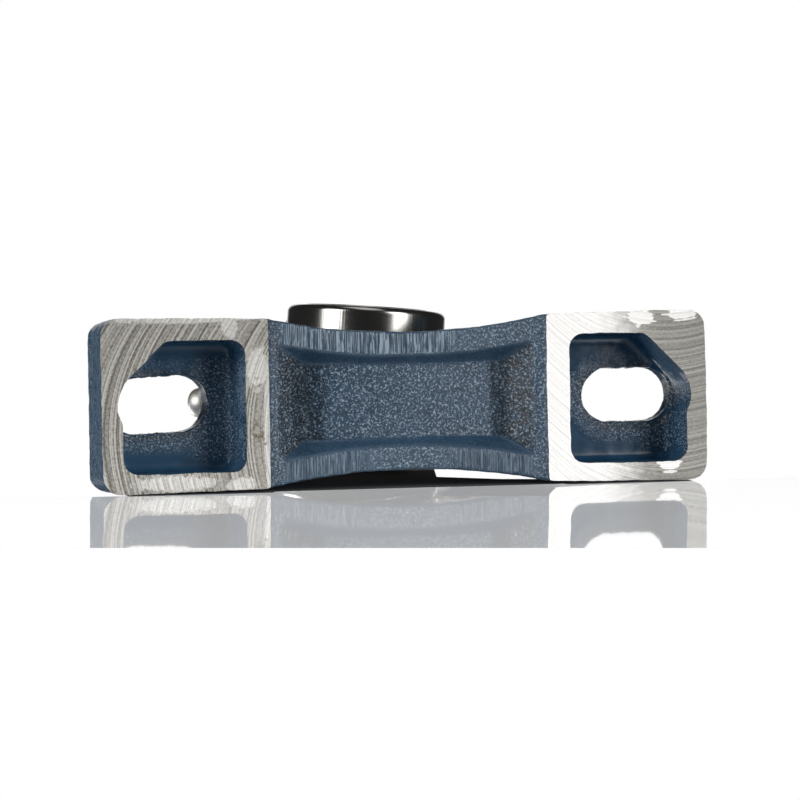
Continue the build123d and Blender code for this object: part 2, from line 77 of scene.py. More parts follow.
class Patterns:
    """A node tree under construction, with the sums its patterns are made of."""

    def __init__(self, tree):
        self.nodes, self.links = tree.nodes, tree.links

    def feed(self, socket, value):
        """Gives a socket a number or colour of its own, or a link."""
        if isinstance(value, bpy.types.NodeSocket):
            self.links.new(value, socket)
        elif isinstance(value, tuple) and len(socket.default_value) == 4:
            socket.default_value = (*value, 1)
        else:
            socket.default_value = value

    def node(self, kind, *values, **settings):
        """A new node, its inputs fed in their order, except where the value is None."""
        made = self.nodes.new("ShaderNode" + kind)
        for name, setting in settings.items():
            setattr(made, name, setting)
        for socket, value in zip(made.inputs, values):
            if value is not None:
                self.feed(socket, value)
        return made

    def calc(self, operation, *terms):
        """The result of one of the Math node's operations."""
        return self.node("Math", *terms, operation=operation).outputs[0]

    def chain(self, operation, first, others):
        """One operation over all the terms, two by two."""
        for other in others:
            first = self.calc(operation, first, other)
        return first

    def product(self, first, *others):
        """All the terms multiplied."""
        return self.chain("MULTIPLY", first, others)

    def total(self, first, *others):
        """All the terms added."""
        return self.chain("ADD", first, others)

    def most(self, first, *others):
        """The greatest of the terms."""
        return self.chain("MAXIMUM", first, others)

    def minus(self, whole, part):
        return self.calc("SUBTRACT", whole, part)

    def size(self, value):
        """The value without its sign."""
        return self.calc("ABSOLUTE", value)

    def square(self, value):
        return self.calc("POWER", value, 2)

    def hypot(self, one, other):
        """How far a point is from the origin of its two coordinates."""
        return self.calc("SQRT", self.total(self.square(one), self.square(other)))

    def either(self, share, off, on):
        """The first number where the share is 0, the second where it is 1."""
        return self.total(self.product(off, self.minus(1.0, share)), self.product(on, share))

    def spread(self, value, low, high, to_low=0.0, to_high=1.0, smooth=False):
        """A value stretched from one span to another, and kept inside it."""
        return self.node("MapRange", value, low, high, to_low, to_high,
                         interpolation_type="SMOOTHSTEP" if smooth else "LINEAR").outputs[0]

    def below(self, value, low, high, smooth=False):
        """1 up to low, falling to 0 at high."""
        return self.spread(value, low, high, 1.0, 0.0, smooth)

    def between(self, value, rise, fall):
        """1 inside a span, from the pairs of values where it rises and falls."""
        return self.product(self.spread(value, *rise), self.below(value, *fall))

    def blend(self, share, low, high):
        """A colour between two others."""
        mix = self.node("Mix", data_type="RGBA")
        for socket, value in zip([socket for socket in mix.inputs if socket.enabled], (share, low, high)):
            self.feed(socket, value)
        return next(socket for socket in mix.outputs if socket.enabled)


class Finish(Patterns):
    """A surface finish: a material, its shader and the piece's own coordinates."""

    def __init__(self, name):
        self.material = bpy.data.materials.new(name)
        self.material.use_nodes = True
        super().__init__(self.material.node_tree)
        self.shader = self.nodes["Principled BSDF"]
        self.place = self.node("TexCoord").outputs["Object"]

    def moved(self, shift=(0, 0, 0), turn=(0, 0, 0), stretch=(1, 1, 1)):
        """The piece's coordinates, shifted, turned or stretched."""
        return self.node("Mapping", self.place, shift, turn, stretch).outputs[0]

    def axes(self, place=None):
        """The X, Y and Z of a place or a direction."""
        return tuple(self.node("SeparateXYZ", place or self.place).outputs)

    def grain(self, size, detail=2.0, rough=0.5, place=None):
        """Noise whose lumps repeat about every size metres."""
        return self.node("TexNoise", place or self.place, None, 1 / size, detail, rough).outputs["Fac"]

    def lines(self, value, size, detail=2.0):
        """Noise along one value, in bands about size metres wide."""
        return self.node("TexNoise", None, value, 1 / size, detail, noise_dimensions="1D").outputs["Fac"]

    def relief(self, height, depth, under=None):
        """A surface that rises by depth where height is 1."""
        return self.node("Bump", None, depth, None, height, under).outputs[0]

    def wear(self, **sockets):
        """Sets the shader's sockets by name, with _ for a space."""
        for name, value in sockets.items():
            self.feed(self.shader.inputs[name.replace("_", " ")], value)


def lay_down(name, edge, finish, front, raised=0.0):
    """A flat sheet on the table, from the X and Z of its corners, unseen from behind."""
    unseen = finish.most(finish.node("NewGeometry").outputs["Backfacing"],
                         finish.node("LightPath").outputs["Is Shadow Ray"])
    clear = finish.node("BsdfTransparent")
    shown = finish.node("MixShader", unseen, front.outputs[0], clear.outputs[0])
    finish.links.new(shown.outputs[0], finish.nodes["Material Output"].inputs["Surface"])

    sheet = bmesh.new()
    sheet.faces.new([sheet.verts.new((x, sheet_at_feet - raised - sheet_lean * z, z)) for x, z in edge])
    mesh = bpy.data.meshes.new(name)
    sheet.to_mesh(mesh)
    sheet.free()
    mesh.materials.append(finish.material)
    place_object(mesh, name)


white_sheet = Finish("white_glossy_sheet")
white_sheet.nodes.remove(white_sheet.shader)
own_white = white_sheet.node("BsdfDiffuse", (0.55, 0.55, 0.55))
mirror = white_sheet.node("BsdfGlossy", (0.64, 0.64, 0.64), 0.03)
white_and_mirror = white_sheet.node("AddShader", own_white.outputs[0], mirror.outputs[0])
lay_down("table", sheet_edge, white_sheet, white_and_mirror)
# Painted shade: a dark mat under the waist, where the sheet lies in the block's shade; it casts no shadow itself.
shade_mat = Finish("painted_shade_mat")
shade_mat.wear(Base_Color=(0.085, 0.085, 0.085), Roughness=0.9, Specular_IOR_Level=0.0)
lay_down("painted_shade_under_block", shade_mat_edge, shade_mat, shade_mat.shader, overlay_height)
# Painted reflection: a flat grey strip in front of the block, standing in for the sheet's mirror image of the
# housing.
reflection_patch = Finish("painted_reflection_sheet")
reflection_patch.wear(Base_Color=(0.56, 0.57, 0.58), Roughness=0.9, Specular_IOR_Level=0.0)
lay_down("painted_reflection_strip", reflection_strip_edge, reflection_patch, reflection_patch.shader, overlay_height)

# ---- Light -----------------------------------------------------------------
# Two soft boxes light the underside of the block and two its back, in a dark
# room.  The camera sees white behind it all.  Glossy surfaces mirror a white
# backdrop and ceiling, and a white wall before and behind the block.
world = bpy.data.worlds.new("room")
world.use_nodes = True
scene.world = world
room = Patterns(world.node_tree)
rays = room.node("LightPath").outputs
outwards = room.node("TexCoord").outputs["Generated"]


def white_towards(middle, edge, core):
    """How white the room is in a cone, from the cosines where its white begins and is full."""
    along = room.node("VectorMath", outwards, Vector(middle).normalized(), operation="DOT_PRODUCT")
    return room.spread(along.outputs["Value"], edge, core)


backdrop = white_towards((0.28, -0.14, 0.95), 0.93, 0.97)
ceiling = white_towards((0, -1, 0), 0.955, 0.985)
wall_before = white_towards((0, -0.93, -0.36), 0.955, 0.985)
wall_behind = white_towards((0, 0.93, -0.30), 0.93, 0.975)
in_gloss = room.most(rays["Is Glossy Ray"], rays["Is Transmission Ray"])
mirrored = room.product(in_gloss, room.most(backdrop, ceiling, wall_before, wall_behind))
dark = room.node("Background", (0.030, 0.030, 0.031))
white = room.node("Background", (1.0, 1.0, 1.0))
lit = room.node("MixShader", room.most(rays["Is Camera Ray"], mirrored), dark.outputs[0], white.outputs[0])
room.links.new(lit.outputs[0], room.nodes["World Output"].inputs["Surface"])

# Each soft box is three panels in one place, so it is brightest in its middle:
# the share of its width and of its power.
box_panels = {"core": (0.74, 0.40), "field": (0.96, 0.36), "edge": (1.14, 0.24)}
box_tall = 1.2
lit_place = Vector((0, 0, 0.02))


def soft_box(name, angle, height, distance, width, watts):
    """A soft box that faces the block, its angle from under the base towards +X."""
    turn = math.radians(angle)
    place = Vector((distance * math.sin(turn), -height, -distance * math.cos(turn)))
    away = (place - lit_place).normalized()
    level = Vector((0, -1, 0)).cross(away).normalized()
    for part, (share, power) in box_panels.items():
        lamp = bpy.data.lights.new(f"{name}_{part}", "AREA")
        lamp.shape = "RECTANGLE"
        lamp.size, lamp.size_y = width * share, box_tall
        lamp.energy = watts * power
        stand = place_object(lamp, lamp.name)
        stand.location = place
        stand.rotation_euler = Matrix((level, away.cross(level), away)).transposed().to_euler()


soft_box("soft_box_left", -68, 0.48, 1.5, 0.83, 26)
soft_box("soft_box_right", 36.5, 0.48, 1.5, 0.72, 22)
soft_box("soft_box_behind_left", -145, -0.75, 1.4, 0.9, 22)
soft_box("soft_box_behind_right", 140, -0.75, 1.4, 0.9, 26)

# ---- Housing ---------------------------------------------------------------
# A rough iron casting, painted all over, then milled flat under both feet and
# bored to a hollow sphere.  The skin is made first and machined afterwards, so
# its unevenness shows along every machined edge.
shaft_height = 0.0365
seat_radius = 0.02604
seat_half = 0.0100           # of its width
groove_half = 0.0048         # of the grease groove's width
groove_radius = seat_radius + 0.0008
window_half = 0.0078         # of the width of the windows that let the insert in
window_depth = 0.0120        # past the rear of the head
mouth_flare = 0.0012
past_head = 0.0111           # clear of the head's faces
passage_radius, passage_start = 0.0015, 0.0245
tapped_radius, tapped_start = 0.00302, 0.0272
spot_radius, spot_face = 0.0055, 0.0329
past_spot = 0.0352           # clear of the head above the spot face
milling_stock = 0.0012       # left under the feet for the cutter
skin_cell = 0.00048          # between the points of the skin
seat_plug_radius, seat_plug_half = 0.0270, 0.01045
hole_plug_radius, hole_plug_low, hole_plug_high = 0.0034, 0.0200, 0.03285
along_shaft = Matrix.Translation((0, 0, shaft_height)) @ Matrix.Rotation(math.radians(90), 4, "X")
to_rear = Matrix.Translation((0, 0, shaft_height)) @ Matrix.Rotation(math.radians(-90), 4, "X")
along_nipple = Matrix.Translation((0, 0, shaft_height)) @ Matrix.Rotation(math.radians(-45), 4, "Y")


def finished(placed):
    """The object's mesh with its modifiers applied."""
    drawn = placed.evaluated_get(bpy.context.evaluated_depsgraph_get())
    return bpy.data.meshes.new_from_object(drawn)


def add_bar(shape, radius, low, high, turn):
    """A round bar from low to high along the turned Z axis."""
    ends = bmesh.ops.create_cone(shape, cap_ends=True, segments=96, radius1=radius, radius2=radius,
                                 depth=high - low)
    middle = Matrix.Translation((0, 0, (low + high) / 2))
    bmesh.ops.transform(shape, matrix=turn @ middle, verts=ends["verts"])


# The solid as it was cast: no seat, no nipple hole, and stock under the feet.
casting = bmesh.new()
casting.from_mesh(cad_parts["housing"].data)
bmesh.ops.remove_doubles(casting, verts=casting.verts, dist=1e-7)
for corner in casting.verts:
    if abs(corner.co.z) < 1e-6:
        corner.co.z = -milling_stock
add_bar(casting, seat_plug_radius, -seat_plug_half, seat_plug_half, along_shaft)
add_bar(casting, hole_plug_radius, hole_plug_low, hole_plug_high, along_nipple)
casting_mesh = bpy.data.meshes.new("casting")
casting.to_mesh(casting_mesh)
casting.free()
housing = place_object(casting_mesh, "housing_casting")
skin = housing.modifiers.new("skin", "REMESH")
skin.mode = "VOXEL"
skin.voxel_size = skin_cell
softened = housing.modifiers.new("softened", "SMOOTH")
softened.factor, softened.iterations = 0.5, 8
housing.data = finished(housing)
housing.modifiers.clear()

# Its unevenness, in millimetres: the height of each wave, and waves in one
# millimetre.  The cores left the hollows smoother, but the slots ragged.
skin_waves = ((0.16, 0.11), (0.11, 0.42), (0.07, 0.95))
slot_waves = ((0.26, 0.8), (0.2, 1.7))
skin_sink = 0.10             # so that the waves stay inside the casting's sizes
slot_middle, slot_straight, slot_radius = 51.0, 4.0, 5.75
slot_above = 8.0             # where the slots begin, above the pads
ragged_reach = 1.5           # from the slots' edges
ragged_straight = 0.3        # of the slots' waves, along their straight sides
core_middle, core_half_x, core_half_y = 47.8, 13.2, 14.2
core_low, core_high = 0.3, 11.6
core_share = 0.25            # of the skin's waves, where the core was
casting_low, casting_high = (-0.065, -0.018, -1), (0.065, 0.018, 0.0699)


def waviness(point, waves):
    """How far the skin rises at a point."""
    height = 0.0
    for rise_of_wave, frequency in waves:
        height += rise_of_wave * noise.noise(point * frequency)
    return height


count = len(housing.data.vertices)
points = np.empty(count * 3)
normals = np.empty(count * 3)
housing.data.vertices.foreach_get("co", points)
housing.data.vertices.foreach_get("normal", normals)
points, normals = points.reshape(-1, 3), normals.reshape(-1, 3)
mm = points * 1000
rise = np.array([waviness(Vector(point), skin_waves) for point in mm])
past_straight = np.maximum(abs(abs(mm[:, 0]) - slot_middle) - slot_straight, 0)
from_slot = abs(np.hypot(past_straight, mm[:, 1]) - slot_radius)
ragged = np.clip(1 - from_slot / ragged_reach, 0, 1) * (mm[:, 2] > slot_above)
ragged *= np.where(past_straight > 0, ragged_straight, 1.0)
for index in np.nonzero(ragged)[0]:
    rise[index] += ragged[index] * waviness(Vector(mm[index]), slot_waves)
by_core = (abs(abs(mm[:, 0]) - core_middle) < core_half_x) & (abs(mm[:, 1]) < core_half_y)
by_core &= (mm[:, 2] > core_low) & (mm[:, 2] < core_high)
rise = np.where(by_core & (from_slot > ragged_reach), core_share * rise, rise)
points += normals * (rise[:, None] - skin_sink) / 1000

# The left slot's core had turned, shifted to the front and stretched towards
# the middle by a millimetre.  The right slot's rear side stands in.
shift_reach = 3              # of the shifts, from the slots' edges
left_turn, left_shift = -0.045, -0.15
right_rear_side = 0.35
near_slot = np.clip(1 - from_slot / shift_reach, 0, 1) * (mm[:, 2] > slot_above) / 1000
left_side = mm[:, 0] < 0
from_left_slot = mm[:, 0] + slot_middle
points[:, 0] += near_slot * left_side * np.clip(from_left_slot / 7, 0, 1)
points[:, 1] += near_slot * left_side * (left_turn * from_left_slot + left_shift)
points[:, 1] -= near_slot * ~left_side * right_rear_side * np.clip(mm[:, 1] / 4, 0, 1)
points = np.clip(points, casting_low, casting_high)
housing.data.vertices.foreach_set("co", points.ravel())


def cut_with(cutter):
    """Takes a cutting shape off the housing."""
    bmesh.ops.recalc_face_normals(cutter, faces=cutter.faces)
    mesh = bpy.data.meshes.new("cutter")
    cutter.to_mesh(mesh)
    cutter.free()
    tool = place_object(mesh, "cutter")
    cut = housing.modifiers.new("cut", "BOOLEAN")
    cut.operation, cut.solver, cut.object = "DIFFERENCE", "MANIFOLD", tool
    housing.data = finished(housing)
    housing.modifiers.clear()
    bpy.data.objects.remove(tool)


def turned(profile, turn, steps=160):
    """A shape spun about the turned Z axis from a profile of radius and height."""
    shape = bmesh.new()
    line = [shape.verts.new((radius, 0, height)) for radius, height in profile]
    for first, second in zip(line, line[1:]):
        shape.edges.new((first, second))
    bmesh.ops.spin(shape, geom=line + list(shape.edges), axis=(0, 0, 1), cent=(0, 0, 0),
                   angle=2 * math.pi, steps=steps, use_merge=True)
    bmesh.ops.remove_doubles(shape, verts=shape.verts, dist=1e-7)
    bmesh.ops.transform(shape, matrix=turn, verts=shape.verts)
    return shape


milling = bmesh.new()
bmesh.ops.create_cube(milling, size=0.2, matrix=Matrix.Translation((0, 0, -0.1)))
cut_with(milling)

sphere = [(seat_radius * math.cos(turn), seat_radius * math.sin(turn))
          for turn in np.linspace(math.asin(groove_half / seat_radius), math.asin(seat_half / seat_radius), 13)]
front_half = [(groove_radius, groove_half), *sphere, (sphere[-1][0] + mouth_flare, past_head), (0, past_head)]
rear_half = [(radius, -height) for radius, height in reversed(front_half)]
cut_with(turned(rear_half + front_half, along_shaft))

window = bmesh.new()
add_bar(window, seat_radius, 0.0001, window_depth, to_rear)
for side in (-1, 1):
    everything = list(window.verts) + list(window.edges) + list(window.faces)
    sawn = bmesh.ops.bisect_plane(window, geom=everything, plane_co=(0, 0, shaft_height + window_half * side),
                                  plane_no=(0, 0, side), clear_outer=True)
    rim = [edge for edge in sawn["geom_cut"] if isinstance(edge, bmesh.types.BMEdge)]
    bmesh.ops.edgeloop_fill(window, edges=rim)
cut_with(window)
cut_with(turned([(0, passage_start), (passage_radius, passage_start), (passage_radius, tapped_start),
                 (tapped_radius, tapped_start), (tapped_radius, spot_face), (spot_radius, spot_face),
                 (spot_radius, past_spot), (0, past_spot)], along_nipple, 64))

# Paint.  Where the mould and the ends of the cores were rough it has pimples,
# and the walls that face front and rear have few.  On the pimples' tips the
# colour is lightened as painted glints, and in their pits darkened as painted
# shade.  Its looks fade from one to the next over these spans, from the middle
# of the base outwards, from its centreline to the sides, or up from the pads.
pad_edge = (0.0297, 0.0302)
rim_depth = (0.0013, 0.0019)
hollow_inner, hollow_outer = (0.0330, 0.0345), (0.0612, 0.0618)
hollow_side = (0.0148, 0.0153)
hollow_low, hollow_high = (0.0020, 0.0030), (0.0115, 0.0120)
slot_low, slot_edge = (0.0085, 0.0100), (0.0062, 0.0082)
slot_round = (0.0085, 0.0105)
left_end = (-0.0635, -0.0612)
left_wall = ((-0.0298, -0.0292), (-0.0225, -0.0190))
right_wall = ((0.0190, 0.0225), (0.0265, 0.0285))
left_wall_foot = ((-0.0250, -0.0225), (-0.0180, -0.0155))
right_wall_foot = ((0.0180, 0.0195), (0.0215, 0.0235))
paint = Finish("blue_paint")
x, y, z = paint.axes()
facing_y = paint.axes(paint.node("NewGeometry").outputs["Normal"])[1]
from_middle = paint.size(x)
from_slot_middle = paint.size(paint.minus(from_middle, slot_middle / 1000))
to_slot = paint.most(paint.minus(from_slot_middle, slot_straight / 1000), 0.0)
slot_side = paint.hypot(to_slot, y)
upright = paint.spread(paint.size(facing_y), 0.25, 0.55, 1.0, 0.12, smooth=True)
on_rim = paint.product(paint.below(z, *rim_depth), paint.below(from_middle, *pad_edge))
in_hollow = paint.product(paint.between(z, hollow_low, hollow_high),
                          paint.between(from_middle, hollow_inner, hollow_outer),
                          paint.below(paint.size(y), *hollow_side))
left_end_face = paint.below(x, *left_end)

# In the hollows the skin is rough round the slots and in two of the corners.
by_slot = paint.product(paint.below(slot_side, *slot_round, smooth=True),
                        paint.spread(y, -0.0065, -0.0050, 0.3, 1.0))
left_corner = paint.product(paint.spread(x, -0.0455, -0.0415), paint.spread(y, -0.0105, -0.0085),
                            paint.calc("LESS_THAN", x, 0.0))
right_corner = paint.product(paint.spread(x, 0.0525, 0.0550), paint.spread(y, 0.0035, 0.0050))
by_corner = paint.product(paint.most(left_corner, right_corner), paint.below(y, 0.0105, 0.0120))
rough_skin = paint.either(in_hollow, 1.0, paint.most(by_slot, by_corner))
coarseness = paint.product(upright, rough_skin)

# Along parts of the waist's rims the pattern was filed, which left streaks.
# Painted glints lighten the colour along them, more on the front rims than on
# the rear, as painted light.
front_part = paint.product(paint.below(y, 0.0, 0.0002), paint.below(x, 0.006, 0.014))
rear_part = paint.product(paint.spread(y, 0.0, 0.0002), paint.spread(from_middle, 0.005, 0.013))
streaked = paint.product(on_rim, paint.most(front_part, rear_part), paint.below(from_middle, 0.0260, 0.0272))
files = paint.grain(0.0002, 1.0, place=paint.moved(stretch=(1, 0.025, 1)))
streaks = paint.product(paint.spread(files, 0.36, 0.68, smooth=True), paint.spread(y, -0.001, 0.001, 1.15, 0.7))
pimples = paint.grain(0.00048, 2.0, 0.8)
speckle = paint.total(paint.product(paint.grain(0.0011, 2.0), 0.3),
                      paint.spread(pimples, 0.47, 0.68, smooth=True))
glint_and_pit_pattern = paint.either(streaked, speckle, streaks)
skin_height = paint.either(streaked, paint.product(pimples, 1.6), paint.product(files, 1.1))

# The paint is thin on the trough's ends.  Round the slots, high in the hollows,
# and at the feet of the trough's end walls, painted shade darkens the colour.
trough_ends = paint.product(paint.total(paint.between(x, *left_wall), paint.between(x, *right_wall)),
                            paint.spread(z, 0.0009, 0.0016))
# Painted shade round the slots, high in the hollows.
slot_shade = paint.product(paint.spread(z, *slot_low), paint.below(slot_side, *slot_edge))
thin_paint_and_slot_shade = paint.product(paint.most(trough_ends, slot_shade), upright,
                     paint.spread(paint.grain(0.0022, 3), 0.30, 0.55))
# Painted shade at the feet of the trough's end walls, which also gloss less there.
wall_foot_shade = paint.product(paint.total(paint.between(x, *left_wall_foot), paint.between(x, *right_wall_foot)),
                          paint.between(z, (0.0012, 0.0020), (0.0060, 0.0070)), upright,
                          paint.spread(paint.grain(0.0020, 3), 0.25, 0.50))
# Painted glints: the colour lightened on the pimples' tips, less high on the body, on the end faces and at the
# walls' feet.
painted_glints = paint.product(paint.spread(glint_and_pit_pattern, 0.35, 1.05), coarseness,
                     paint.spread(z, 0.0120, 0.0180, 1.0, 0.5),
                     paint.spread(from_middle, 0.0610, 0.0635, 1.0, 0.35),
                     paint.spread(wall_foot_shade, 0.0, 0.8, 1.0, 0.5))
# Painted shade: the colour darkened in the pits between them.
painted_pit_shade = paint.product(paint.below(glint_and_pit_pattern, 0.10, 0.20), coarseness)

# Its colour, laid on from the ground colour up: how much of each, and what.
clouds = paint.spread(paint.grain(0.006, 3), 0.35, 0.65)
# The left hollow is painted lighter than the right: painted light, for light that the lamps do not bring into it.
left_hollow_painted_lighter = paint.blend(clouds, (0.017, 0.056, 0.110), (0.024, 0.070, 0.130))
right_hollow = paint.blend(clouds, (0.009, 0.041, 0.086), (0.014, 0.053, 0.105))
colour = paint.blend(clouds, (0.015, 0.038, 0.070), (0.023, 0.052, 0.090))
for cover, share, tint in (
        (on_rim, 0.40, (0.066, 0.100, 0.142)),
        (in_hollow, 0.85, paint.blend(paint.spread(x, -0.01, 0.01), left_hollow_painted_lighter, right_hollow)),
        (left_end_face, 0.50, (0.006, 0.046, 0.096)),
        (thin_paint_and_slot_shade, 0.80, (0.017, 0.017, 0.018)),
        (wall_foot_shade, 0.75, (0.009, 0.014, 0.020)),
        (painted_pit_shade, 0.50, (0.008, 0.014, 0.022)),
        (painted_glints, 0.76, (0.28, 0.355, 0.42))):
    colour = paint.blend(paint.product(cover, share), colour, tint)
gloss = paint.spread(in_hollow, 0.0, 1.0, 0.23, 0.20)
lumps = paint.relief(paint.product(paint.grain(0.0030, 2), coarseness), 0.00014)
paint.wear(Base_Color=colour, Roughness=paint.spread(from_middle, 0.0600, 0.0630, gloss, 0.25), IOR=1.43,
           Specular_IOR_Level=paint.product(paint.spread(wall_foot_shade, 0.0, 0.8, 0.5, 0.12),
                                            paint.spread(left_end_face, 0.0, 1.0, 1.0, 0.35)),
           Normal=paint.relief(paint.product(skin_height, coarseness), 0.00014, lumps))

# Milled iron: one cutter pass in arcs on the left foot, another on the right.
left_sweep, left_arc_y = 0.039, 0.0064
right_sweep, right_arc_x = 0.0355, 0.056
iron = Finish("milled_iron")
x, y = iron.axes()[:2]
on_right = iron.calc("GREATER_THAN", x, 0)
left_rise = iron.minus(y, left_arc_y)
left_reach = iron.calc("SQRT", iron.minus(left_sweep**2, iron.square(left_rise)))
right_run = iron.minus(x, right_arc_x)
right_reach = iron.calc("SQRT", iron.minus(right_sweep**2, iron.square(right_run)))
passes = iron.either(on_right, iron.total(x, left_reach), iron.minus(y, right_reach))
across = iron.node("CombineXYZ", iron.either(on_right, iron.product(left_reach, -1), right_run),
                   iron.either(on_right, left_rise, right_reach))
across = iron.node("VectorMath", across.outputs[0], operation="NORMALIZE")
coarse, middle, fine = iron.lines(passes, 0.0022), iron.lines(passes, 0.0007), iron.lines(passes, 0.0003)
broad = iron.either(on_right, iron.calc("MULTIPLY_ADD", coarse, 0.32, 0.14),
                    iron.calc("MULTIPLY_ADD", coarse, 0.2, 0.2))
marks = iron.total(broad, middle, iron.product(fine, 0.6))
tone = iron.spread(iron.total(marks, iron.product(iron.grain(0.0006, 2), 0.5)), 1.15, 1.55)

# Painted highlights, where the pads mirror the soft boxes: middle X and Y,
# and half of the length and width, in millimetres, their edges ragged along
# the cutter's marks.  Much of the right pad, its inner part, is painted bright
# as well.
painted_highlights = [(-38.0, -16.2, 1.6, 2.6), (-32.2, -7.0, 2.2, 4.2), (-30.2, 6.0, 0.9, 12.0), (-47.0, -17.6, 16.0, 0.9),
          (-50.0, 15.9, 8.0, 1.6), (-36.0, 16.4, 3.0, 1.3), (50.6, -16.4, 3.0, 1.8), (59.6, -17.2, 3.4, 1.4),
          (56.4, 14.6, 2.4, 1.5)]


def off_place(place_x, place_y):
    """How far X and Y are from a place given in millimetres."""
    return iron.minus(x, place_x / 1000), iron.minus(y, place_y / 1000)


jagged = iron.total(iron.product(iron.lines(passes, 0.0007, 1.0), 1.1), iron.grain(0.0018, 3))
highlight_share = iron.product(iron.below(iron.total(x, iron.product(jagged, 0.008)), 0.049, 0.062, smooth=True), on_right)
for highlight_x, highlight_y, half_x, half_y in painted_highlights:
    off_x, off_y = off_place(highlight_x, highlight_y)
    off = iron.hypot(iron.calc("DIVIDE", off_x, half_x / 1000), iron.calc("DIVIDE", off_y, half_y / 1000))
    highlight_share = iron.most(highlight_share, iron.below(iron.total(off, iron.minus(jagged, 1.15)), 0.85, 1.0))
# The bright colour is the painted highlights', whiter on the right pad.
matt = iron.blend(on_right, iron.blend(tone, (0.115, 0.108, 0.092), (0.46, 0.445, 0.41)),
                  iron.blend(tone, (0.16, 0.156, 0.139), (0.33, 0.321, 0.295)))
bright = iron.blend(on_right, iron.blend(tone, (0.40, 0.39, 0.365), (0.68, 0.67, 0.64)),
                    iron.blend(tone, (0.66, 0.65, 0.63), (0.82, 0.81, 0.79)))
metal = iron.blend(highlight_share, matt, bright)

# Rust has begun in a few pits on the left foot's inner side: X, Y and radius,
# in millimetres.
rust_spots = [(-32.2, 6.6, 2.6), (-33.0, 4.6, 1.5), (-31.4, 8.0, 1.4), (-32.4, -4.2, 1.6)]
rust_pits = iron.spread(iron.grain(0.0010, 3, 0.7), 0.50, 0.57)
for rust_x, rust_y, radius in rust_spots:
    near = iron.below(iron.hypot(*off_place(rust_x, rust_y)), 0.3 * radius / 1000, radius / 1000)
    metal = iron.blend(iron.product(rust_pits, near, 0.8), metal, (0.10, 0.075, 0.048))
dullness = iron.spread(highlight_share, 0, 1, 0.50, 0.40)
iron.wear(Base_Color=metal, Metallic=dullness, Roughness=dullness, Anisotropic=0.6, Tangent=across.outputs[0],
          Normal=iron.relief(marks, 0.00006))

# The seat, the nipple's spot face and its tapped hole, bored bright.
bored = Finish("bored_iron")
feed_marks = bored.lines(bored.axes()[1], 0.0003)
bored.wear(Base_Color=bored.blend(feed_marks, (0.30, 0.29, 0.27), (0.48, 0.46, 0.43)), Metallic=1.0,
           Roughness=0.35, Normal=bored.relief(feed_marks, 0.00003))

housing.data.materials.clear()
for finish in (paint, iron, bored):
    housing.data.materials.append(finish.material)
PAINTED, MILLED, BORED = 0, 1, 2
hole_low, hole_high, hole_reach = 0.024, 0.033, 0.0031
sharp_turn = 0.4             # radians, between two faces at a machined edge
nipple_axis = Vector((-1, 0, 1)).normalized()
machined = bmesh.new()
machined.from_mesh(housing.data)
for face in machined.faces:
    middle = face.calc_center_median()
    out = middle - Vector((0, 0, shaft_height))
    up_nipple = out.dot(nipple_axis)
    off_nipple = (out - nipple_axis * up_nipple).length
    on_pad = abs(middle.z) < 2e-6 and face.normal.z < -0.99
    in_seat = (math.hypot(out.x, out.z) < seat_plug_radius
               and (abs(middle.y) < seat_half or abs(face.normal.y) < 0.85))
    on_spot_face = (face.normal.dot(nipple_axis) > 0.98 and abs(up_nipple - spot_face) < 2e-5
                    and off_nipple < spot_radius + 2e-5)
    in_hole = hole_low < up_nipple < hole_high and off_nipple < hole_reach
    face.smooth = True
    face.material_index = MILLED if on_pad else BORED if in_seat or on_spot_face or in_hole else PAINTED
for edge in machined.edges:
    one, other = edge.link_faces
    bare = max(one.material_index, other.material_index) > PAINTED
    if one.material_index != other.material_index or bare and one.normal.angle(other.normal, 0) > sharp_turn:
        edge.smooth = False
machined.to_mesh(housing.data)
machined.free()
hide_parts("housing")
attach(housing, "housing_body")

# ---- Outer ring ------------------------------------------------------------
# Bearing steel, turned, hardened and ground: outside to the sphere of the
# housing's seat, inside to the balls' groove.  It swivels in the seat.
insert_tilt = math.radians(4.6)


def about_shaft(finish):
    """Place along the tilted shaft, distance from it, and angle round it."""
    across, along, up = finish.axes(finish.moved(shift=(0, 0, -shaft_height), turn=(0, 0, -insert_tilt)))
    return along, finish.hypot(across, up), finish.calc("ARCTAN2", across, up)


def wheel_marks(finish, size):
    """The marks of a grinding wheel, round the ring and round its end faces."""
    along, out, angle = about_shaft(finish)
    return finish.lines(finish.total(along, finish.product(out, 0.7)), size, 3.0)


def dress(node, finish):
    """Gives a solid from the frame a finish."""
    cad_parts[node].material_slots[0].material = finish.material


ground_ring = Finish("ground_outer_ring")
grinding = wheel_marks(ground_ring, 0.00022)
stain = ground_ring.spread(ground_ring.grain(0.005, 3), 0.45, 0.75)
clean_steel = ground_ring.blend(grinding, (0.46, 0.45, 0.43), (0.60, 0.59, 0.57))
ground_ring.wear(Base_Color=ground_ring.blend(stain, clean_steel, (0.38, 0.35, 0.31)), Metallic=1.0,
                 Roughness=ground_ring.spread(grinding, 0.3, 0.7, 0.20, 0.32),
                 Normal=ground_ring.relief(grinding, 0.00001))
dress("outer_ring", ground_ring)

# ---- Balls -----------------------------------------------------------------
# Nine chrome steel balls, lapped to a mirror, with a trace of grease.
lapped = Finish("lapped_balls")
grease = lapped.spread(lapped.grain(0.0035, 2), 0.50, 0.72)
lapped.wear(Base_Color=lapped.blend(grease, (0.74, 0.74, 0.75), (0.62, 0.58, 0.47)), Metallic=1.0,
            Roughness=lapped.spread(grease, 0, 1, 0.05, 0.20), Normal=lapped.relief(grease, 0.00001))
for number in range(1, 10):
    dress(f"ball_{number}", lapped)

